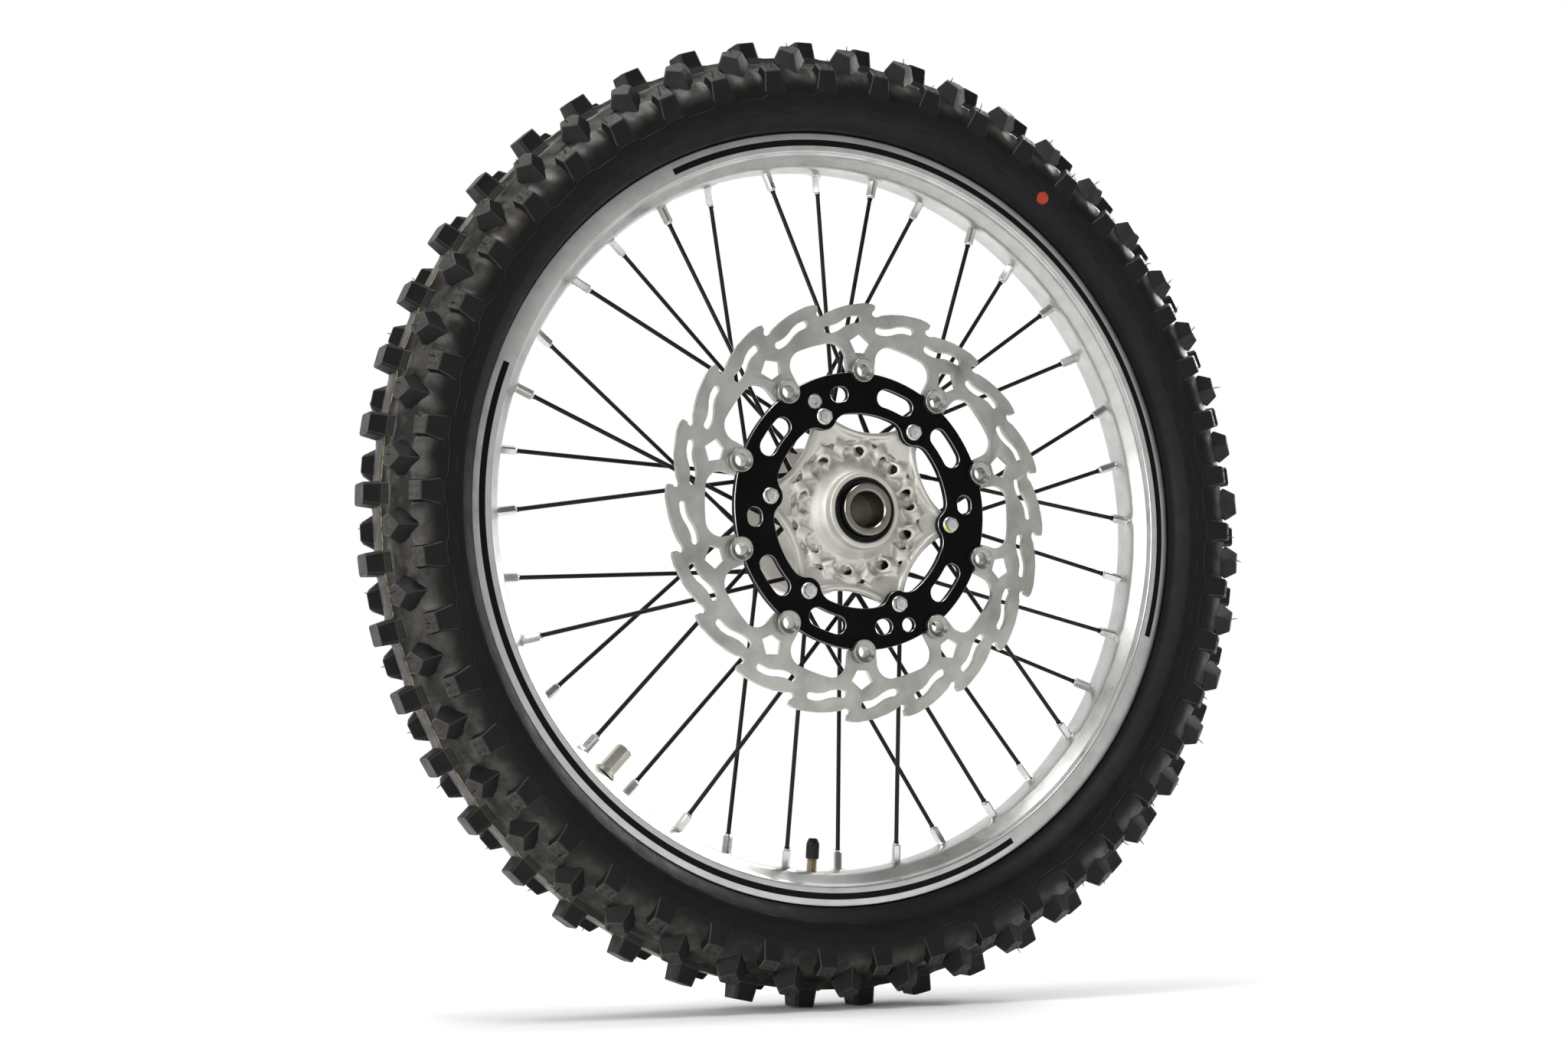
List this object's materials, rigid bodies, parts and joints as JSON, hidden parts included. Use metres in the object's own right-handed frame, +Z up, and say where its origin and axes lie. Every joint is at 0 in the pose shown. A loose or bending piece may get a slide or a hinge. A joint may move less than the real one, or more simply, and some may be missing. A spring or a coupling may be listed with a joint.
{
  "type": "spoked motorcycle front wheel",
  "caption": "Spoked off-road motorcycle front wheel with knobbly tyre, cast hub on sealed ball bearings and a floating hooked brake disc.",
  "frame": {"origin": "centre of the axle bore at the rim's middle plane", "axes": "+Z up, wheel axis along Y with the brake disc on the -Y side, +X to the right as seen from the disc side"},
  "size_m": [0.702, 0.1268, 0.7012],
  "materials": {
    "tyre_rubber": "matt moulded rubber",
    "tube_rubber": "smooth butyl rubber",
    "rim_silver": "polished and silver anodised, black pinstripe",
    "spoke_black": "black coated steel",
    "nipple_silver": "bright faceted",
    "hub_cast": "satin blasted casting",
    "carrier_black": "black anodised",
    "disc_steel": "ground stainless steel",
    "turned_steel": "turned steel",
    "bolt_steel": "zinc plated",
    "bearing_steel": "ground bearing steel",
    "cage_steel": "pressed steel",
    "seal_rubber": "satin nitrile rubber",
    "brass": "turned brass",
    "cap_plastic": "moulded black plastic",
    "nickel": "nickel plated"
  },
  "bodies": {
    "axle_set": {"spacer_disc_side": "turned_steel", "spacer_far_side": "turned_steel", "distance_tube": "turned_steel", "bearing_inner_disc_side": "bearing_steel", "bearing_inner_far_side": "bearing_steel"},
    "wheel": {"tyre": "tyre_rubber", "inner_tube": "tube_rubber", "rim_strip": "tube_rubber", "rim": "rim_silver", "spokes_disc_side_outer": "spoke_black", "spokes_disc_side_inner": "spoke_black", "spokes_far_side_outer": "spoke_black", "spokes_far_side_inner": "spoke_black", "nipples_disc_side": "nipple_silver", "nipples_far_side": "nipple_silver", "hub": "hub_cast", "disc_carrier": "carrier_black", "disc_bobbins": "turned_steel", "bobbin_washers": "bolt_steel", "bobbin_clips": "bolt_steel", "disc_bolts": "bolt_steel", "sensor_magnet": "bolt_steel", "bearing_outer_disc_side": "bearing_steel", "bearing_shields_disc_side": "seal_rubber", "bearing_outer_far_side": "bearing_steel", "bearing_shields_far_side": "seal_rubber", "seal_disc_side": "seal_rubber", "seal_far_side": "seal_rubber", "valve_stem": "brass", "valve_core": "brass", "valve_cap": "cap_plastic", "rim_lock_shoe": "tube_rubber", "rim_lock_stud": "nickel", "rim_lock_washer": "nickel", "rim_lock_nut": "nickel"},
    "floating_disc": {"disc_rotor": "disc_steel"},
    "balls_disc_side": {"bearing_balls_disc_side": "bearing_steel", "bearing_cage_disc_side": "cage_steel"},
    "balls_far_side": {"bearing_balls_far_side": "bearing_steel", "bearing_cage_far_side": "cage_steel"}
  },
  "joints": [
    {"name": "wheel_spin", "type": "hinge", "parent": "axle_set", "child": "wheel", "pos_m": [0, 0, 0], "axis": [0, 1, 0], "continuous": true},
    {"name": "disc_float", "type": "slide", "parent": "wheel", "child": "floating_disc", "axis": [0, 1, 0], "range_m": [-0.0002, 0.0002]},
    {"name": "balls_disc_side_roll", "type": "hinge", "parent": "axle_set", "child": "balls_disc_side", "pos_m": [0, -0.0475, 0], "axis": [0, 1, 0], "continuous": true},
    {"name": "balls_far_side_roll", "type": "hinge", "parent": "axle_set", "child": "balls_far_side", "pos_m": [0, 0.0475, 0], "axis": [0, 1, 0], "continuous": true}
  ],
  "couplings": [
    {"joint": "balls_disc_side_roll", "follows": "wheel_spin", "ratio": 0.5618},
    {"joint": "balls_far_side_roll", "follows": "wheel_spin", "ratio": 0.5618}
  ]
}
